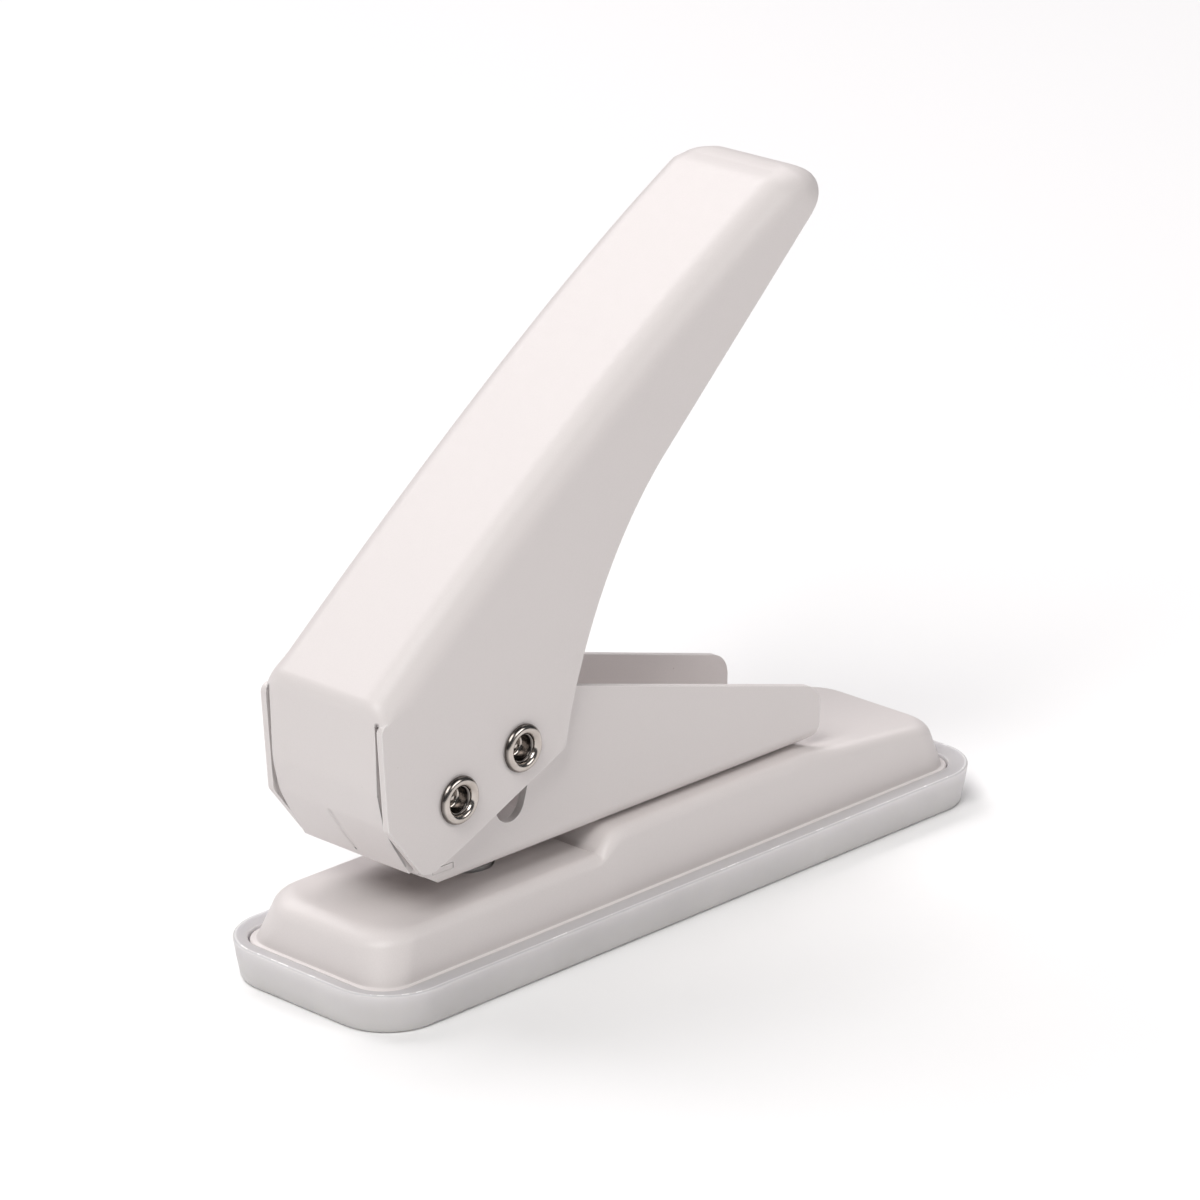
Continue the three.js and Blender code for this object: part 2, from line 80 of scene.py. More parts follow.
RIM_BEVEL = 0.16  # asked for; the overlap clamp narrows it to about 0.01 on the lever and base and 0.04 on the frame
SLIVER_AREA, SLIVER_PASSES = 1e-10, 12


# ---------------------------------------------------------------- outline helpers
def rounded(corners, steps, closed=True):
    """A polygon [x, z, radius] with its corners turned into arcs."""
    out, count = [], len(corners)
    for i, (x, y, radius) in enumerate(corners):
        here = Vector((x, y))
        if not radius or (not closed and i in (0, count - 1)):
            out.append(here)
            continue
        back = (Vector(corners[i - 1][:2]) - here).normalized()
        on = (Vector(corners[(i + 1) % count][:2]) - here).normalized()
        half = math.acos(max(-1, min(1, back.dot(on)))) / 2
        middle = here + (back + on).normalized() * (radius / math.sin(half))
        start = here + back * (radius / math.tan(half)) - middle
        end = here + on * (radius / math.tan(half)) - middle
        a0 = math.atan2(start.y, start.x)
        turn = (math.atan2(end.y, end.x) - a0 + math.pi) % (2 * math.pi) - math.pi
        for k in range(steps + 1):
            a = a0 + turn * k / steps
            out.append(middle + Vector((math.cos(a), math.sin(a))) * radius)
    return out


def bezier(p0, p1, p2, count):
    p0, p1, p2 = Vector(p0), Vector(p1), Vector(p2)
    return [p0 * (1 - t) ** 2 + p1 * 2 * t * (1 - t) + p2 * t * t for t in (k / count for k in range(count + 1))]


def filled_in(points, longest):
    """The same outline with long straight runs cut into shorter ones."""
    out = []
    for a, b in zip(points, points[1:]):
        steps = max(1, math.ceil((b - a).length / longest))
        out += [a.lerp(b, k / steps) for k in range(steps)]
    return out + [points[-1]]


def spaced(points, shortest):
    """The same outline without points that crowd the one before."""
    out = [points[0]]
    for p in points[1:-1]:
        if (p - out[-1]).length > shortest and (p - points[-1]).length > shortest * 0.6:
            out.append(p)
    return out + [points[-1]]


def ring_of(x, z, radius, count=40):
    return [Vector((x + radius * math.cos(2 * math.pi * k / count), z + radius * math.sin(2 * math.pi * k / count)))
            for k in range(count)]


def smooth(t, a, b):
    t = max(0.0, min(1.0, (t - a) / (b - a)))
    return t * t * (3 - 2 * t)


# ---------------------------------------------------------------- mesh building
def new_object(name, data):
    obj = bpy.data.objects.new(name, data)
    scene.collection.objects.link(obj)
    return obj


def remove_slivers(work):
    """Joins triangles without area, which points in a straight line leave, to the faces over their longest edges."""
    for _ in range(SLIVER_PASSES):
        slivers = [f for f in work.faces if f.calc_area() < SLIVER_AREA]
        longest = {max(f.edges, key=lambda e: e.calc_length()) for f in slivers}
        bmesh.ops.dissolve_edges(work, edges=[e for e in work.edges if e in longest], use_verts=False)


class Sheet:
    """Collects vertices in millimetres and faces, and becomes one object."""

    def __init__(self):
        self.verts, self.faces = [], []

    def row(self, points):
        start = len(self.verts)
        self.verts += [tuple(p) for p in points]
        return list(range(start, len(self.verts)))

    def strip(self, a, b, closed=False):
        pairs = list(zip(a, a[1:] + a[:1], b, b[1:] + b[:1])) if closed else list(zip(a, a[1:], b, b[1:]))
        self.faces += [(p, q, s, r) for p, q, r, s in pairs]

    def loft(self, rows, closed=False):
        for a, b in zip(rows, rows[1:]):
            self.strip(a, b, closed)

    def flat(self, boundary, holes, place):
        """A flat face with holes.

        boundary holds vertex indices and their plan points, and place turns a plan point into 3-D.
        """
        index = [i for i, _ in boundary]
        loops = [[Vector((p[0], p[1], 0)) for _, p in boundary]]
        for hole in holes:
            index += self.row([place(p) for p in hole])
            loops.append([Vector((p[0], p[1], 0)) for p in hole])
        self.faces += [tuple(index[i] for i in tri) for tri in tessellate_polygon(loops)]

    def build(self, name, merge=0.004, dissolve=True):
        """The sheet as an object. merge is in millimetres, and dissolve joins faces that lie in one plane."""
        mesh = bpy.data.meshes.new(name)
        mesh.from_pydata([[c * MM for c in v] for v in self.verts], [], self.faces)
        work = bmesh.new()
        work.from_mesh(mesh)
        bmesh.ops.remove_doubles(work, verts=work.verts, dist=merge * MM)
        bmesh.ops.dissolve_degenerate(work, edges=work.edges, dist=1e-7)
        remove_slivers(work)
        bmesh.ops.recalc_face_normals(work, faces=work.faces)
        if dissolve:
            bmesh.ops.dissolve_limit(work, angle_limit=0.0035, verts=[], edges=work.edges)
        for face in work.faces:
            face.smooth = True
        work.to_mesh(mesh)
        work.free()
        return new_object(name, mesh)


def facing(obj, point, direction):
    """Turns the mesh over if the face nearest to point doesn't look along direction."""
    target, way = Vector(point) * MM, Vector(direction)
    nearest = min(obj.data.polygons, key=lambda f: (f.center - target).length)
    if nearest.normal.dot(way) < 0:
        obj.data.flip_normals()


def thicken(obj, thickness):
    """Gives a sheet its thickness, inwards from the face that shows."""
    mod = obj.modifiers.new("sheet", "SOLIDIFY")
    mod.thickness = thickness * MM
    mod.offset = -1
    mod.use_even_offset = False
    mod.use_quality_normals = True


def soften(obj, width, segments, angle):
    """Rounds the edges that bend by more than angle degrees."""
    mod = obj.modifiers.new("edges", "BEVEL")
    mod.width = width * MM
    mod.segments = segments
    mod.limit_method = "ANGLE"
    mod.angle_limit = math.radians(angle)
    mod.use_clamp_overlap = True
    mod.harden_normals = False
    mod.miter_outer = "MITER_SHARP"
    weigh_normals(obj, 90, keep_sharp=True)


def weigh_normals(obj, weight, keep_sharp=False):
    mod = obj.modifiers.new("normals", "WEIGHTED_NORMAL")
    mod.weight = weight
    mod.keep_sharp = keep_sharp


def cover(obj, material):
    obj.data.materials.clear()
    obj.data.materials.append(material)


def finish_piece(obj, body, node, material):
    """The object takes its material, rides on the body and stands in for the CAD node."""
    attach(obj, body)
    cover(obj, material)
    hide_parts(node)


# ---------------------------------------------------------------- node helpers
class Nodes:
    """A material and its nodes, with the object's own coordinates as the place of every texture."""

    def __init__(self, name):
        self.material = bpy.data.materials.new(name)
        self.material.use_nodes = True
        self.tree = self.material.node_tree
        self.shader = self.tree.nodes["Principled BSDF"]
        self.coord = self.add("ShaderNodeTexCoord").outputs["Object"]

    def add(self, kind, **values):
        node = self.tree.nodes.new(kind)
        for key, value in values.items():
            if key in node.inputs:
                node.inputs[key].default_value = value
            else:
                setattr(node, key, value)
        return node

    def link(self, a, b):
        self.tree.links.new(a, b)

    def noise(self, scale, detail, roughness=0.55, vector=None):
        node = self.add("ShaderNodeTexNoise", Scale=scale, Detail=detail, Roughness=roughness)
        self.link(vector or self.coord, node.inputs["Vector"])
        return node.outputs["Fac"]

    def voronoi(self, scale):
        node = self.add("ShaderNodeTexVoronoi", Scale=scale)
        self.link(self.coord, node.inputs["Vector"])
        return node.outputs["Distance"]

    def ramp(self, fac, *stops):
        """Grey levels along fac. Each of stops is (place, level)."""
        node = self.add("ShaderNodeValToRGB")
        while len(node.color_ramp.elements) < len(stops):
            node.color_ramp.elements.new(0.5)
        for element, (at, grey) in zip(node.color_ramp.elements, stops):
            element.position = at
            element.color = (grey, grey, grey, 1)
        self.link(fac, node.inputs["Fac"])
        return node.outputs["Color"]

    def mix(self, fac, a, b):
        node = self.add("ShaderNodeMix", data_type="RGBA")
        for socket, value in ((node.inputs[0], fac), (node.inputs[6], a), (node.inputs[7], b)):
            if isinstance(value, bpy.types.NodeSocket):
                self.link(value, socket)
            else:
                socket.default_value = value
        return node.outputs[2]

    def patches(self, fac, a, b, low=0.3, high=0.7):
        """Colour a where fac is low and b where it is high."""
        return self.mix(self.ramp(fac, (low, 0.0), (high, 1.0)), a, b)

    def constants(self, values):
        for name, value in values.items():
            self.shader.inputs[name].default_value = value

    def maths(self, operation, a, b, clamp=False):
        node = self.add("ShaderNodeMath", operation=operation, use_clamp=clamp)
        for socket, value in zip(node.inputs, (a, b)):
            if isinstance(value, bpy.types.NodeSocket):
                self.link(value, socket)
            else:
                socket.default_value = value
        return node.outputs[0]

    def near(self, a, b, reach):
        """1 on the segment from a to b (millimetres), falling to 0 at reach."""
        start, along = Vector(a) * MM, (Vector(b) - Vector(a)) * MM
        offset = self.add("ShaderNodeVectorMath", operation="SUBTRACT")
        self.link(self.coord, offset.inputs[0])
        offset.inputs[1].default_value = start
        share = self.add("ShaderNodeVectorMath", operation="DOT_PRODUCT")
        self.link(offset.outputs[0], share.inputs[0])
        share.inputs[1].default_value = along / max(along.length_squared, 1e-12)
        place = self.add("ShaderNodeVectorMath", operation="SCALE")
        place.inputs[0].default_value = along
        self.link(self.maths("MULTIPLY", share.outputs["Value"], 1.0, clamp=True), place.inputs["Scale"])
        gap = self.add("ShaderNodeVectorMath", operation="DISTANCE")
        self.link(offset.outputs[0], gap.inputs[0])
        self.link(place.outputs[0], gap.inputs[1])
        fall = self.add("ShaderNodeMapRange", interpolation_type="SMOOTHSTEP", clamp=True)
        for socket, value in zip(("From Min", "From Max", "To Min", "To Max"), (0.0, reach * MM, 1.0, 0.0)):
            fall.inputs[socket].default_value = value
        self.link(gap.outputs["Value"], fall.inputs["Value"])
        return fall.outputs["Result"]

    def bump(self, height, strength, distance, normal=None):
        node = self.add("ShaderNodeBump", Strength=strength, Distance=distance)
        self.link(height, node.inputs["Height"])
        if normal:
            self.link(normal, node.inputs["Normal"])
        return node.outputs["Normal"]


def edge_highlight_mask(nodes, radius, low, high):
    """Mask for a painted highlight: bright along bent and cut edges, within about radius millimetres of them."""
    soft = nodes.add("ShaderNodeBevel", samples=4, Radius=radius * MM)
    alike = nodes.add("ShaderNodeVectorMath", operation="DOT_PRODUCT")
    nodes.link(soft.outputs["Normal"], alike.inputs[0])
    nodes.link(nodes.add("ShaderNodeNewGeometry").outputs["Normal"], alike.inputs[1])
    return nodes.ramp(nodes.maths("SUBTRACT", 1.0, alike.outputs["Value"]), (low, 0.0), (high, 1.0))


def paint_material(name, creases=(), dents=(), gaps=()):
    """Satin paint.

    Each of creases, dents and gaps is (start, end, reach) in millimetres: pressed lines with painted shade along
    them, small pits filled with painted shade, and painted shade on the sides of narrow slits.
    """
    n = Nodes(name)
    colour = n.patches(n.noise(28, 3, 0.5), (0.690, 0.648, 0.638, 1), (0.725, 0.681, 0.671, 1))
    colour = n.patches(n.noise(5200, 2, 0.6), colour, (0.75, 0.705, 0.694, 1), 0.35, 0.65)
    colour = n.mix(0.65, colour, (0.71, 0.666, 0.655, 1))
    specks = n.ramp(n.voronoi(260), (0.0, 1.0), (0.045, 0.0))
    gate = n.ramp(n.noise(90, 1), (0.60, 0.0), (0.66, 1.0))
    colour = n.mix(n.maths("MULTIPLY", specks, gate), colour, (0.42, 0.37, 0.35, 1))
    # painted highlight: lighter paint along the bent and cut edges
    colour = n.mix(n.maths("MULTIPLY", edge_highlight_mask(n, 0.35, 0.03, 0.16), 0.6), colour, (0.88, 0.86, 0.845, 1))
    # painted shade on the sides of the narrow slits
    for gap in gaps:
        colour = n.mix(n.maths("MULTIPLY", n.near(*gap), 0.9), colour, (0.10, 0.10, 0.105, 1))
    # painted shade along the pressed lines, besides their bump
    for start, end, reach in creases:
        colour = n.mix(n.maths("MULTIPLY", n.near(start, end, reach * 0.6), 0.35), colour, (0.42, 0.39, 0.38, 1))
    # painted shade filling the small pits: the dot at the crease's end and the dimples at the slits' tops
    pits = [n.near(*dent) for dent in dents]
    for pit in pits:
        colour = n.mix(pit, colour, (0.20, 0.18, 0.18, 1))
    n.link(colour, n.shader.inputs["Base Color"])
    n.link(n.ramp(n.noise(900, 3, 0.6), (0.3, 0.40), (0.7, 0.50)), n.shader.inputs["Roughness"])
    n.constants({"Specular IOR Level": 0.42, "Coat Weight": 0.12, "Coat Roughness": 0.3})
    peel = n.bump(n.noise(1500, 3, 0.55), 0.10, 0.00006)
    normal = n.bump(n.noise(4200, 2, 0.5), 0.08, 0.00003, peel)
    for crease in creases:
        normal = n.bump(n.maths("SUBTRACT", 1.0, n.near(*crease)), 0.8, 0.0003, normal)
    for pit in pits:
        normal = n.bump(n.maths("SUBTRACT", 1.0, pit), 0.5, 0.0003, normal)
    n.link(normal, n.shader.inputs["Normal"])
    return n.material


def metal_material(name, dark, light, rough_low, rough_high, scratch=1800, stretch=(1, 1, 1), bump=0.06, axes=()):
    """Plated or ground metal. axes holds the (x, z) of rivets, whose flanges get painted shade along both rims."""
    n = Nodes(name)
    mapping = n.add("ShaderNodeMapping")
    mapping.inputs["Scale"].default_value = stretch
    n.link(n.coord, mapping.inputs["Vector"])
    lines = n.noise(scratch, 4, 0.6, mapping.outputs["Vector"])
    colour = n.patches(n.noise(420, 3, 0.5), (*dark, 1), (*light, 1))
    # painted shade along each flange's outer rim and along its inner rim at the bore
    for x, z in axes:
        within = n.near((x, -30, z), (x, 30, z), 3.6)
        outer_rim_shade = (0.0, 0.0), (0.004, 0.0), (0.009, 1.0), (0.03, 0.8), (0.07, 0.0)
        inner_rim_shade = (0.42, 0.0), (0.49, 1.0), (0.56, 0.6), (0.64, 0.0)
        colour = n.mix(n.ramp(within, *outer_rim_shade, *inner_rim_shade), colour, (0.09, 0.08, 0.075, 1))
    n.link(colour, n.shader.inputs["Base Color"])
    n.constants({"Metallic": 1.0})
    n.link(n.ramp(lines, (0.3, rough_low), (0.7, rough_high)), n.shader.inputs["Roughness"])
    n.link(n.bump(lines, bump, 0.00004), n.shader.inputs["Normal"])
    return n.material


def plastic_material():
    """Frosted plastic with painted shade on the ledge inside the rim and a thin nicked painted highlight on top of it.
    """
    n = Nodes("frosted_plastic")
    colour = n.patches(n.noise(60, 3, 0.5), (0.60, 0.582, 0.58, 1), (0.66, 0.640, 0.638, 1))
    place = n.add("ShaderNodeSeparateXYZ")
    n.link(n.coord, place.inputs[0])
    centimetres = (place.outputs["Z"], 100.0)
    # painted shade on the ledge inside the rim, chosen by height
    ledge = n.ramp(n.maths("MULTIPLY", *centimetres), (0.552, 0.0), (0.559, 1.0))
    colour = n.mix(ledge, colour, (0.50, 0.485, 0.49, 1))
    # painted highlight: a thin line of light along the rim's top, broken by nicks
    rim = n.ramp(n.maths("MULTIPLY", *centimetres), (0.5675, 0.0), (0.5705, 1.0))
    nicks = n.ramp(n.noise(310, 2, 0.7), (0.56, 0.0), (0.60, 1.0))
    colour = n.mix(n.maths("MULTIPLY", rim, n.maths("ADD", 0.35, nicks, clamp=True)), colour, (0.93, 0.93, 0.93, 1))
    n.link(colour, n.shader.inputs["Base Color"])
    n.link(n.ramp(n.noise(1400, 3, 0.6), (0.3, 0.42), (0.7, 0.56)), n.shader.inputs["Roughness"])
    n.constants({"Subsurface Weight": 0.6, "Subsurface Radius": (0.004, 0.004, 0.0045), "Subsurface Scale": 1.0,
                 "IOR": 1.5})
    grain = n.bump(n.noise(2600, 3, 0.6), 0.10, 0.00005)
    n.link(n.bump(n.noise(180, 2, 0.5), 0.12, 0.0003, grain), n.shader.inputs["Normal"])
    return n.material


# the pressed line across the flap, which gets a bump and painted shade along it
FLAP_CREASE = ((-52.6, 0.5, 25.7), (-49.3, -0.6, 20.0), 0.55)
# small pits with painted shade in them: a dot at the crease's end and dimples at the slits' tops
CREASE_DOT = ((-49.2, -0.6, 19.8), (-49.2, -0.6, 19.9), 0.28)
SLIT_ENDS = [((-54.2, y, 40.6), (-54.2, y, 40.9), 0.5) for y in (-10.2, 10.2)]
# the runs of the slits between flap and walls, which get painted shade on their sides
SLIT_RUNS = ((-54.6, 40.4, -54.0, 31.0), (-54.0, 31.0, -52.6, 25.4), (-52.6, 25.4, -49.2, 20.0))
SLITS = [((x0, y, z0), (x1, y, z1), 0.42) for y in (-10.1, 10.1) for x0, z0, x1, z1 in SLIT_RUNS]
PAINT = paint_material("satin_paint")
LEVER_PAINT = paint_material("lever_paint", [FLAP_CREASE], [CREASE_DOT] + SLIT_ENDS, SLITS)
NICKEL = metal_material("nickel_plate", (0.50, 0.45, 0.41), (0.62, 0.57, 0.53), 0.14, 0.26, 900, (1, 1, 1), 0.05,
                        (FULCRUM, DRIVE))
TOOL_STEEL = metal_material("ground_steel", (0.70, 0.70, 0.69), (0.80, 0.80, 0.79), 0.26, 0.42, 2600, (1, 1, 0.05))
ZINC = metal_material("zinc_steel", (0.66, 0.66, 0.66), (0.76, 0.76, 0.76), 0.36, 0.52, 1600, (1, 0.3, 1))
SPRING = metal_material("spring_steel", (0.30, 0.30, 0.31), (0.40, 0.40, 0.40), 0.25, 0.4, 3000)
PLASTIC = plastic_material()


# ---------------------------------------------------------------- lever
def lever_spine():
    """Stations (point, outward normal) from the flap's foot, over the bend, to the tip."""
    front = rounded([(-48.5, 18.7, 0), (-51.3, 23.2, 5), (-52.95, 26.3, 7), (-54.0, 31, 10), (-54.57, 40.75, 0),
                     (-54.7, 43, 2.8), (-30, 63.5, 0)], 10, closed=False)[:-1]
    top = bezier((-54.4, 43.2), (-8.8, 81.05), (22, 98.3), 60)
    start = next(i for i, p in enumerate(top) if p.x > front[-1].x + 0.8)
    tip = rounded([(19.5, 96.85, 0), (25.3, 99.0, 7), (TIP_HEEL.x, TIP_HEEL.y, 1.2), (20, 86.5, 0)], 12)
    furthest = max(range(len(tip)), key=lambda i: (tip[i] - TIP_HEEL).dot(TIP_ALONG))
    tip = spaced(tip[1:furthest + 1], 0.45)
    tip.append(tip[-1] - TIP_UP * (tip[-1] - TIP_HEEL).dot(TIP_UP))
    last = next(i for i, p in enumerate(top) if p.x > tip[0].x - 0.8) - 1
    line = spaced(filled_in(front, 1.6), 0.4) + top[start:last + 1] + filled_in(tip, 0.6)
    stations = []
    for i, p in enumerate(line):
        along = (line[min(i + 1, len(line) - 1)] - line[max(i - 1, 0)]).normalized()
        stations.append((p, Vector((-along.y, along.x))))
    return stations


def lever_lower_edge():
    """The wall's free edge from the tip's heel, round the cut corners below the rivets, to the slit's top."""
    sweep = bezier((-2.6, 65), (-15.3, 52.5), (-21, 30.4), 16)
    heel = rounded([(-20.4, 32, 0), (-21.1, 28.9, 1.2), (-40, 20.5, 0), (-45.9, 18.2, 3), (-47.7, 18.75, 0.8),
                    (-53.45, 26.2, 1.0), (-54.5, 40.9, 1.2), (-53.3, 41.1, 0)], 5, closed=False)
    return sweep[:-1] + heel[1:]


def make_lever():
    sheet = Sheet()
    stations = lever_spine()
    slit_top = next(i for i, (p, _) in enumerate(stations) if p.y > SLIT_TOP)
    slit_point, slit_normal = stations[slit_top]
    settled = next(i for i, (p, _) in enumerate(stations) if i > slit_top and (p - slit_point).length > CORNER_RUN)
    slit_end = slit_point - slit_normal * (LEVER_EDGE * SLIT_CURL)
    corner_end = stations[settled][0] - stations[settled][1] * LEVER_EDGE
    corner_length = (stations[settled][0] - slit_point).length
    inner = [-1 + k / 4 for k in range(1, 8)]
    rows, walls = [], {-1: [], 1: []}
    for i, (p, normal) in enumerate(stations):
        height = (p - TIP_HEEL).dot(TIP_UP)
        ahead = (p - TIP_HEEL).dot(TIP_ALONG)
        into = max(0.0, min(TIP_CORNER, TIP_CORNER + ahead))
        half = LEVER_HALF - TIP_CORNER + math.sqrt(TIP_CORNER ** 2 - into ** 2)
        edge = LEVER_EDGE if ahead < -20 else max(0.0, min(LEVER_EDGE, height * 0.93))
        turn = smooth(ahead, -14, -3)
        fall = -(normal * (1 - turn) + TIP_UP * turn).normalized()
        turns = EDGE_TURNS
        if i < slit_top:
            fall *= (SLIT_CURL - 0.03) * smooth(p.y, 30, 41) + 0.03
            turns = EDGE_TURNS[:FLAP_ARC]
        elif i < settled:
            fall = (slit_end.lerp(corner_end, (p - slit_point).length / corner_length) - p) / LEVER_EDGE
        flat_half = half - edge
        near, far = ([(p.x + fall.x * drop, side * out, p.y + fall.y * drop) for out, drop in (
            (flat_half + edge * math.sin(math.radians(a)), edge * (1 - math.cos(math.radians(a)))) for a in turns)]
            for side in (-1, 1))
        rows.append(sheet.row(near[::-1] + [(p.x, flat_half * t, p.y) for t in inner] + far))
        if i >= slit_top:
            if into <= 0.0:
                last_flat = i
            for side, index, (x, _, z) in ((-1, rows[-1][0], near[-1]), (1, rows[-1][-1], far[-1])):
                walls[side].append((index, (x, z), half, height, p))
    for a, b in zip(rows, rows[1:]):
        spare = (len(b) - len(a)) // 2
        sheet.strip(a, b[spare:len(b) - spare])
    flat_count = last_flat - slit_top + 1
    for side in (-1, 1):
        upper, skirt = walls[side][:flat_count], walls[side][flat_count - 1:]
        foot = [(p - TIP_UP * height, side * half) for _, _, half, height, p in skirt]
        feet = sheet.row([(q.x, y, q.y) for q, y in foot])
        sheet.strip([entry[0] for entry in skirt], feet)
        lower = filled_in(spaced([foot[0][0]] + lever_lower_edge(), 0.35), 3.0)
        y = side * LEVER_HALF
        placed = sheet.row([(q.x, y, q.y) for q in lower[1:]])
        boundary = [entry[:2] for entry in upper] + [(feet[0], tuple(lower[0]))]
        boundary += [(i, tuple(q)) for i, q in zip(placed, lower[1:])]
        sheet.flat(boundary, [ring_of(*FULCRUM, LEVER_HOLE), ring_of(*DRIVE, LEVER_HOLE)],
                   lambda q, y=y: (q[0], y, q[1]))
    obj = sheet.build("lever_cover")
    facing(obj, (-10, 0, 76), (-0.6, 0, 0.8))
    thicken(obj, LEVER_SHEET)
    soften(obj, RIM_BEVEL, 3, 38)
    finish_piece(obj, "lever", "lever_shell", LEVER_PAINT)


# ---------------------------------------------------------------- base
def deck_height(x):
    """The deck's height: the low front, the curved paper stop and the rear, which falls a little at its end."""
    rise = max(0.0, min(1.0, (x - STOP_FOOT) / (STOP_TOP - STOP_FOOT)))
    return REAR_DECK - (REAR_DECK - FRONT_DECK) * (1 - rise) ** 2.2 - 0.1 * max(0.0, x - 26)


def groove(x):
    """Depth of the sharp crease at the paper stop's foot, between the two long edges."""
    return GROOVE_DEPTH * max(0.0, 1 - abs(x - STOP_FOOT) / GROOVE_HALF)


def edge_height(x, drop):
    """The height of a line that runs drop below the deck: the stop's foot softens as it goes over the edge."""
    spread = 2.6 * smooth(drop, 0.1, 1.6)
    if spread < 0.05:
        return deck_height(x) - drop
    shares = [(t / 4, 1 - abs(t) / 5) for t in range(-4, 5)]
    total = sum(share for _, share in shares)
    return sum(deck_height(x + spread * t) * share for t, share in shares) / total - drop


def base_level(turn, edge):
    """Inset and drop at one turn round the top edge, from 0 for an upright wall to 90 degrees on the deck."""
    a = math.radians(turn)
    return BASE_LEAN + edge * (1 - math.cos(a)), edge * (1 - math.sin(a))


# x of the points along a long side, from the base's middle, close together where the paper stop rises
STRAIGHT = [-44, -40, -35.4, -32, -28.5, -25, -21.4, -19, -17, -16, -15.2, -14.6, -14.45, -14.15, -13.85, -13.6, -13.3,
            -12.9, -12.5, -12, -11.5, -10.9, -10.4, -9.75, -9, -8, -6.5, -4, 0, 5, 10, 15, 20, 24, 26.6, 29, 32, 36,
            40, 44]


def base_stations(level, front, rear):
    """One level round the near half of the base: (x, half width, drop).

    level gives inset and drop for an edge radius. front and rear are the corner radii in plan.
    """
    inset, drop = level(BASE_EDGE)
    end, side = BASE_LENGTH - inset, BASE_WIDTH - inset
    arc = 10
    turns = [math.pi / 2 * k / arc for k in range(arc + 1)]
    out = []
    for k, a in enumerate(turns):
        own, own_drop = level(BASE_FRONT_EDGE + (BASE_EDGE - BASE_FRONT_EDGE) * smooth(k / arc, 0, 1))
        x = own - BASE_LENGTH + front * (1 - math.cos(a))
        out.append((x, BASE_WIDTH - own - front * (1 - math.sin(a)), own_drop))
    out += [(x, side, drop) for x in STRAIGHT]
    out += [(end - rear * (1 - math.cos(a)), side - rear * (1 - math.sin(a)), drop) for a in reversed(turns)]
    return out


def make_base():
    sheet = Sheet()
    across = 10
    shares = [k / across for k in range(1, across)]

    def ring(half, height):
        """A closed loop: near side to the rear, across the rear end, far side back, across the front end."""
        (x0, y0, d0), (x1, y1, d1) = half[0], half[-1]
        loop = [(x, -y, d) for x, y, d in half] + [(x1, y1 * (2 * t - 1), d1) for t in shares]
        loop += [(x, y, d) for x, y, d in reversed(half)] + [(x0, y0 * (1 - 2 * t), d0) for t in shares]
        return sheet.row([(x + BASE_MIDDLE, y, height(x + BASE_MIDDLE, d)) for x, y, d in loop])

    rings = []
    foot = [(0.0, 1.6, 4.6), (0.0, 5.0, 4.6), (0.06, 5.25, 4.6), (0.22, 5.36, 4.6), (0.5, 5.38, 4.8), (0.58, 5.5, 5.0)]
    for inset, z, front in foot:
        rings.append(ring(base_stations(lambda edge: (inset, z), front, 4.6), lambda x, d: d))
    for k in range(13):
        turn = BASE_TURN + (90 - BASE_TURN) * k / 12
        rings.append(ring(base_stations(lambda edge: base_level(turn, edge), 6.2, 4.8), edge_height))
    sheet.loft(rings, closed=True)

    top, ends = rings[-1], len(shares)
    count = (len(top) - 2 * ends) // 2
    near, rear_end, far, front_end = (top[:count], top[count:count + ends], top[count + ends:2 * count + ends][::-1],
                                      top[-ends:][::-1])
    rows = []
    for i, (near_point, far_point) in enumerate(zip(near, far)):
        a, b = sheet.verts[near_point], sheet.verts[far_point]
        if i == 0:
            between = front_end
        elif i == count - 1:
            between = rear_end
        else:
            between = sheet.row([(a[0], a[1] + (b[1] - a[1]) * t, a[2] - groove(a[0])) for t in shares])
        rows.append([near_point] + between + [far_point])
    first, last = (min(range(count), key=lambda i: abs(sheet.verts[rows[i][0]][0] - x)) for x in DIE_PATCH)
    sheet.loft(rows[:first + 1])
    sheet.loft(rows[last:])
    sides = rows[first + 1:last]
    boundary = rows[first][::-1] + [r[0] for r in sides] + rows[last] + [r[-1] for r in sides][::-1]
    sheet.flat([(i, sheet.verts[i][:2]) for i in boundary], [ring_of(PUNCH_X, 0, DIE_HOLE)],
               lambda q: (q[0], q[1], FRONT_DECK))
    obj = sheet.build("base_cover", dissolve=False)
    facing(obj, (10, 0, REAR_DECK), (0, 0, 1))
    thicken(obj, BASE_SHEET)
    soften(obj, RIM_BEVEL, 3, 50)
    finish_piece(obj, "base", "base_plate", PAINT)


# ---------------------------------------------------------------- frame
def swung(degrees, reach):
    """The point at reach from the fulcrum, at an angle above the level."""
    a = math.radians(degrees)
    return Vector((FULCRUM[0] + reach * math.cos(a), FULCRUM[1] + reach * math.sin(a)))


def drive_slot():
    """The slot that the drive rivet runs in: outer arc, lower end, inner arc and upper end."""
    high, low = ARM_REST + 1, ARM_REST - SWING - 1

    def side(first, last, reach):
        return [swung(first + (last - first) * k / 24, reach) for k in range(25)]

    def end(at, first):
        turns = [math.radians(first - 180 * k / 14) for k in range(1, 14)]
        return [swung(at, ARM) + Vector((math.cos(a), math.sin(a))) * SLOT_HALF for a in turns]

    outer, inner = ARM + SLOT_HALF, ARM - SLOT_HALF
    return side(high, low, outer) + end(low, low) + side(low, high, inner) + end(high, high + 180)


def frame_outline():
    return rounded([(-41.6, 14.8, 3), (31.4, 14.8, 2.6), (31.6, 22.6, 3.6), (-27, 38.75, 5), (-38, 38, 5),
                    (-46.6, 31, 5), (-46.6, 17.9, 1.2)], 10)


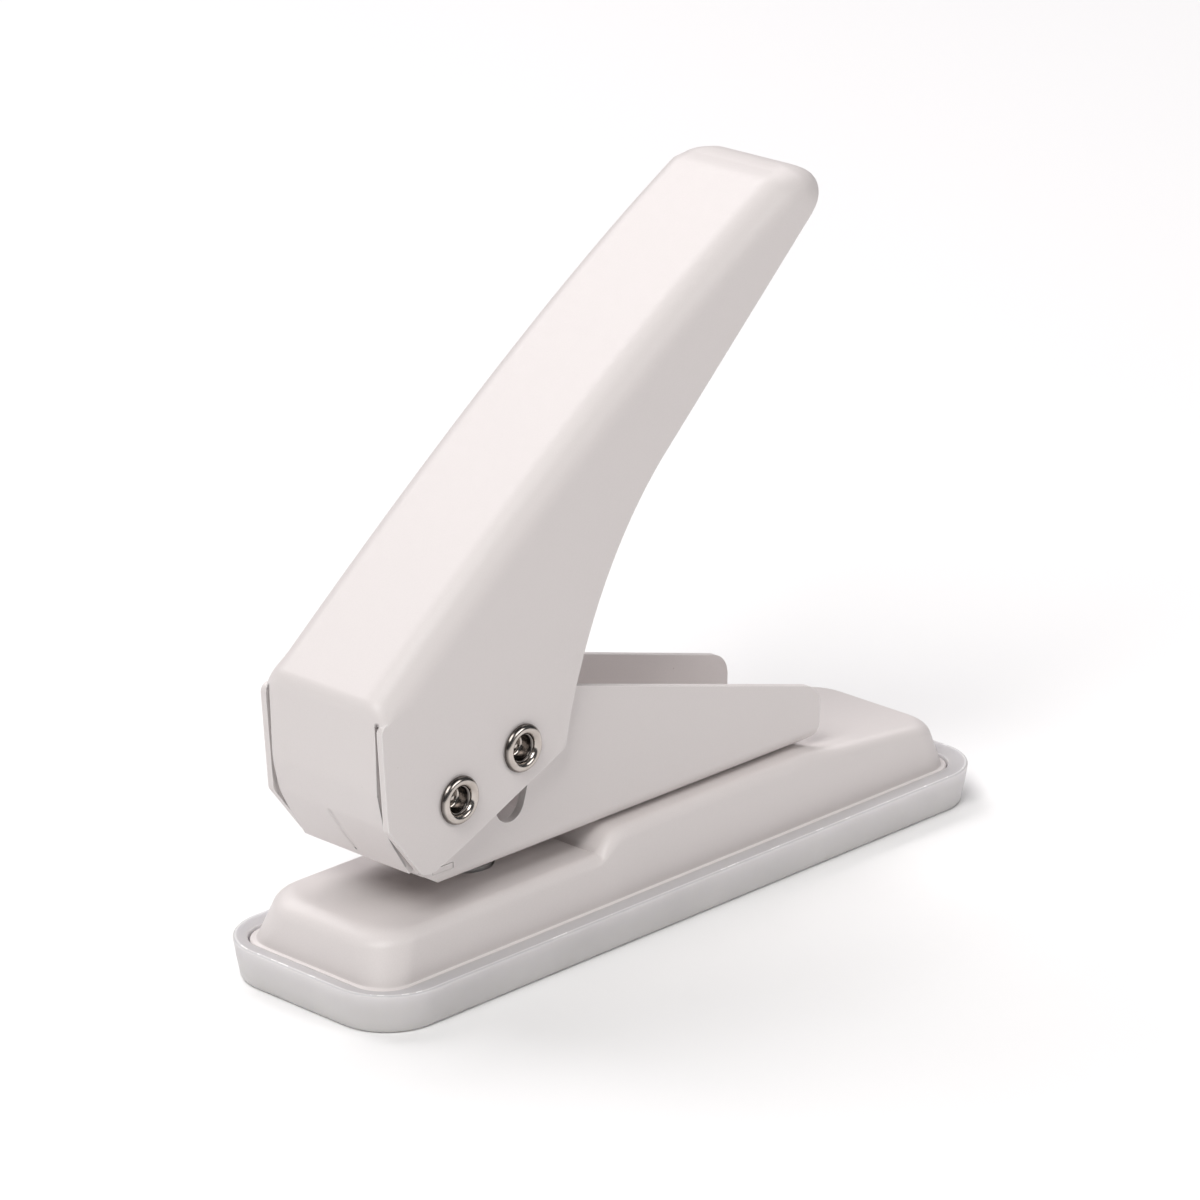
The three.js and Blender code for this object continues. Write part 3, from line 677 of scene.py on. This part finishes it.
def span(outline, z):
    """Where a level line crosses the outline: lowest and highest x."""
    xs = []
    for a, b in zip(outline, outline[1:] + outline[:1]):
        if (a.y - z) * (b.y - z) <= 0 and abs(a.y - b.y) > 1e-9:
            xs.append(a.x + (b.x - a.x) * (z - a.y) / (b.y - a.y))
    return min(xs), max(xs)


def outline_above(outline, z):
    """The part of the outline above a level line, from the rear to the front."""
    above = [p.y > z for p in outline]
    start = next(i for i in range(len(outline)) if above[i] and not above[i - 1])
    upper = [outline[(start + k) % len(outline)] for k in range(sum(above))]
    return upper[::-1] if upper[0].x < 0 else upper


def make_frame():
    sheet = Sheet()
    outline = frame_outline()
    columns = 24
    bend_top = FRAME_UNDER + FRAME_BEND
    web_edges = []
    for side in (-1, 1):
        rings = []
        for a in (math.pi / 2 * k / 8 for k in range(9)):
            z = FRAME_UNDER + FRAME_BEND * (1 - math.cos(a))
            y = side * (FRAME_HALF - FRAME_BEND + FRAME_BEND * math.sin(a))
            x0, x1 = span(outline, max(z, FRAME_UNDER + 0.001))
            rings.append(sheet.row([(x0 + (x1 - x0) * c / columns, y, z) for c in range(columns + 1)]))
        sheet.loft(rings)
        web_edges.append(rings[0])
        y = side * FRAME_HALF
        upper = filled_in(outline_above(outline, bend_top + 0.02), 4.0)
        placed = sheet.row([(p.x, y, p.y) for p in upper])
        boundary = [(i, (sheet.verts[i][0], sheet.verts[i][2])) for i in rings[-1]]
        boundary += [(i, tuple(p)) for i, p in zip(placed, upper)]
        sheet.flat(boundary, [ring_of(*FULCRUM, FULCRUM_HOLE), drive_slot(), EAR_WINDOW],
                   lambda q, y=y: (q[0], y, q[1]))
    near, far = web_edges
    holes = [ring_of(PUNCH_X, 0, PIN_HOLE)] + [ring_of(x, 0, FRAME_RIVET_HOLE, 24) for x in FRAME_RIVETS]
    sheet.flat([(i, sheet.verts[i][:2]) for i in near + far[::-1]], holes, lambda q: (q[0], q[1], FRAME_UNDER))
    obj = sheet.build("frame_cover")
    facing(obj, (5, -FRAME_HALF, 22), (0, -1, 0))
    thicken(obj, FRAME_SHEET)
    soften(obj, RIM_BEVEL, 3, 38)
    finish_piece(obj, "base", "frame_bracket", PAINT)


# ---------------------------------------------------------------- tray
def tray_ring(half_x, half_y, corner, middle=0.0):
    """A rounded rectangle in plan, with points along its straight sides too."""
    arc = 14
    out = []
    for cx, cy, a0 in ((1, -1, -90), (1, 1, 0), (-1, 1, 90), (-1, -1, 180)):
        for a in (math.radians(a0 + 90 * k / arc) for k in range(arc + 1)):
            out.append((middle + cx * (half_x - corner) + corner * math.cos(a),
                        cy * (half_y - corner) + corner * math.sin(a)))
    dense = []
    for p, q in zip(out, out[1:] + out[:1]):
        steps = 12 if abs(q[0] - p[0]) > 20 else (4 if abs(q[1] - p[1]) > 8 else 1)
        dense += [(p[0] + (q[0] - p[0]) * k / steps, p[1] + (q[1] - p[1]) * k / steps) for k in range(steps)]
    return dense


def make_tray():
    sheet = Sheet()
    outside = [(1.6, 0.0), (1.1, 0.12), (0.86, 0.4), (0.80, 0.8), (0.45, 2.6), (0.1, 4.9), (0.0, 5.38), (0.05, 5.54),
               (0.16, 5.66), (0.32, 5.71), (0.48, 5.69), (0.62, 5.63), (0.8, 5.6)]
    pocket = [(0.25, 5.6), (0.06, 5.56), (-0.02, 5.45), (-0.02, 3.4), (-0.02, 1.3)]
    levels = [(z, tray_ring(TRAY_LENGTH - inset, TRAY_WIDTH - inset, TRAY_CORNER - inset)) for inset, z in outside]
    levels += [(z, tray_ring(POCKET_LENGTH + grow, POCKET_WIDTH + grow, POCKET_CORNER + grow, BASE_MIDDLE))
               for grow, z in pocket]
    rings = [sheet.row([(x, y, z) for x, y in ring]) for z, ring in levels]
    sheet.loft(rings, closed=True)
    sheet.faces += [tuple(reversed(rings[0])), tuple(rings[-1])]
    obj = sheet.build("tray_shell", dissolve=False)
    facing(obj, (0, 0, 0), (0, 0, -1))
    weigh_normals(obj, 60)
    finish_piece(obj, "tray", "chip_tray", PLASTIC)


# ---------------------------------------------------------------- turned pieces
def lathe(name, profile, place, count=96, closed=True):
    """A (radius, height) outline turned about an axis. place turns (radius * cos, radius * sin, height) into 3-D."""
    sheet = Sheet()
    turns = [2 * math.pi * k / count for k in range(count)]
    rings = [sheet.row([place(radius * math.cos(a), radius * math.sin(a), height) for a in turns])
             for radius, height in profile]
    sheet.loft(rings + (rings[:1] if closed else []), closed=True)
    return sheet.build(name, merge=0.001, dissolve=False)


def tubular_rivet(name, x, z, node):
    """A rivet across both lever walls, with hollow ends that are rolled out into flanges."""
    face = LEVER_HALF + 0.1
    roll, outer, bore, shank = 0.8, 3.35, 1.72, 2.35
    middle, across = (outer + bore + 0.2) / 2, (outer - bore - 0.2) / 2
    half = [(shank, 0.0), (shank, face - 0.6), (shank, face), (outer - 0.18, face), (outer - 0.04, face + 0.08)]
    half += [(middle + across * math.cos(a), face + 0.02 + roll * math.sin(a))
             for a in (math.radians(14 + (180 - 14) * k / 14) for k in range(15))]
    half += [(bore + 0.16, face + 0.1), (bore + 0.06, face - 0.3), (bore, face - 0.8), (bore - 0.05, face - 1.4),
             (bore - 0.25, face - 1.7), (bore - 0.55, face - 1.72), (0.75, face - 1.25), (0.3, face - 1.0),
             (0.0, face - 0.95)]
    profile = [(r, -h) for r, h in reversed(half)] + half
    obj = lathe(name, profile, lambda u, v, h: (x + u, h, z + v), closed=False)
    facing(obj, (x, -face - roll, z + middle), (0, -1, 0))
    finish_piece(obj, "lever", node, NICKEL)


def frame_rivet(name, x, node):
    """A domed head on the frame's web, a shank through the deck and an upset tail below it."""
    head = FRAME_UNDER + FRAME_SHEET + 0.02
    tail = REAR_DECK - BASE_SHEET - 0.02
    dome = [(3.0 * math.cos(a), head + 0.1 + 1.1 * math.sin(a)) for a in (math.radians(90 * k / 10) for k in range(10))]
    profile = [(0.0, head + 1.2)] + dome[::-1] + [
        (2.95, head), (1.5, head), (1.5, tail), (2.55, tail), (2.4, tail - 0.75), (1.0, tail - 0.95),
        (0.7, tail - 0.5), (0.0, tail - 0.45)]
    obj = lathe(name, profile, lambda u, v, h: (x + u, v, h), 64)
    facing(obj, (x, 0, head + 1.2), (0, 0, 1))
    finish_piece(obj, "base", node, ZINC)


def spring_line(t):
    """The wire's centre line, from the foot at 0 to the top at 1, closer wound at both ends."""
    a = t * SPRING_TURNS * 2 * math.pi
    lift = smooth(t, 0.02, 0.98) * 0.35 + t * 0.65
    radius = SPRING_WIDE + (SPRING_NARROW - SPRING_WIDE) * t
    return Vector((PUNCH_X + radius * math.cos(a), radius * math.sin(a),
                   SPRING_FOOT + SPRING_WIRE + lift * (SPRING_TOP - SPRING_FOOT - 2 * SPRING_WIRE)))


def make_spring():
    sheet = Sheet()
    steps, sides = 180, 12
    rings = []
    for k in range(steps + 1):
        t = k / steps
        here = spring_line(t)
        along = (spring_line(min(1, t + 0.002)) - spring_line(max(0, t - 0.002))).normalized()
        out = Vector((here.x - PUNCH_X, here.y, 0)).normalized()
        lift = along.cross(out).normalized()
        out = lift.cross(along).normalized()
        wire = SPRING_WIRE * (1.0 if 0 < k < steps else 0.75)
        rings.append(sheet.row([here + out * (wire * math.cos(b)) + lift * (wire * math.sin(b))
                                for b in (2 * math.pi * s / sides for s in range(sides))]))
    sheet.loft(rings, closed=True)
    sheet.faces += [tuple(rings[0]), tuple(reversed(rings[-1]))]
    obj = sheet.build("return_coil", merge=0.001, dissolve=False)
    finish_piece(obj, "base", "return_spring", SPRING)
    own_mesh(obj)


# ---------------------------------------------------------------- build
make_lever()
make_base()
make_frame()
make_tray()
tubular_rivet("fulcrum_tube", *FULCRUM, "fulcrum_rivet")
tubular_rivet("drive_tube", *DRIVE, "drive_rivet")
frame_rivet("frame_rivet_front_head", FRAME_RIVETS[0], "frame_rivet_front")
frame_rivet("frame_rivet_rear_head", FRAME_RIVETS[1], "frame_rivet_rear")
make_spring()

# the CAD nodes that stay in view keep their shapes and take a material and softer edges
for node, slot, material in (("die_plate", "zinc_steel", ZINC), ("guide_plate", "painted_steel", PAINT),
                             ("punch_pin", "tool_steel", TOOL_STEEL), ("spring_washer", "zinc_steel", ZINC)):
    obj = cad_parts[node]
    cover(obj, material)
    soften(obj, 0.12, 2, 40)


# ---------------------------------------------------------------- stage, light and camera
mesh = bpy.data.meshes.new("floor")
mesh.from_pydata([(-3, -3, 0), (3, -3, 0), (3, 3, 0), (-3, 3, 0)], [], [(0, 1, 2, 3)])
floor = new_object("floor", mesh)
pale = Nodes("pale_floor")
pale.constants({"Base Color": (0.93, 0.93, 0.93, 1), "Roughness": 0.9, "Specular IOR Level": 0.1})
floor.data.materials.append(pale.material)

AIM = Vector((0, 0, 0.04))


def softbox(name, location, size, power, colour):
    light = bpy.data.lights.new(name, "AREA")
    light.shape = "RECTANGLE"
    light.size, light.size_y = size
    light.energy = power
    light.color = colour
    obj = new_object(name, light)
    obj.location = location
    obj.rotation_euler = (AIM - Vector(location)).to_track_quat("-Z", "Y").to_euler()


softbox("back", (0.0, 1.0, 1.20), (1.1, 1.1), 14.0, (1.0, 0.97, 0.98))
softbox("back_right", (0.95, 0.35, 1.10), (0.9, 0.9), 5.0, (1.0, 0.965, 0.97))
softbox("high_front", (-0.85, -0.32, 1.10), (0.7, 0.7), 12.8, (1.0, 0.99, 0.975))
softbox("front", (0.3, -1.0, 0.70), (0.7, 0.5), 3.5, (1.0, 0.97, 0.96))

world = bpy.data.worlds.new("studio")
world.use_nodes = True
world.node_tree.nodes["Background"].inputs["Color"].default_value = (0.86, 0.93, 1.0, 1)
world.node_tree.nodes["Background"].inputs["Strength"].default_value = 0.07
scene.world = world

scene.view_settings.view_transform = "Standard"
scene.view_settings.look = "None"

CAMERA_AZIMUTH, CAMERA_ELEVATION, CAMERA_DISTANCE = math.radians(-45.84), math.radians(20.02), 0.73835
CAMERA_TARGET = Vector((-0.00285, 0.0, 0.04199))
camera = bpy.data.cameras.new("camera")
camera.sensor_width = 36
camera.lens = 164.3
camera.clip_start, camera.clip_end = 0.05, 20
eye = new_object("camera", camera)
level = math.cos(CAMERA_ELEVATION)
back = Vector((math.sin(CAMERA_AZIMUTH) * level, -math.cos(CAMERA_AZIMUTH) * level, math.sin(CAMERA_ELEVATION)))
eye.location = CAMERA_TARGET + back * CAMERA_DISTANCE
eye.rotation_mode = "QUATERNION"
eye.rotation_quaternion = (-back).to_track_quat("-Z", "Y")
scene.camera = eye
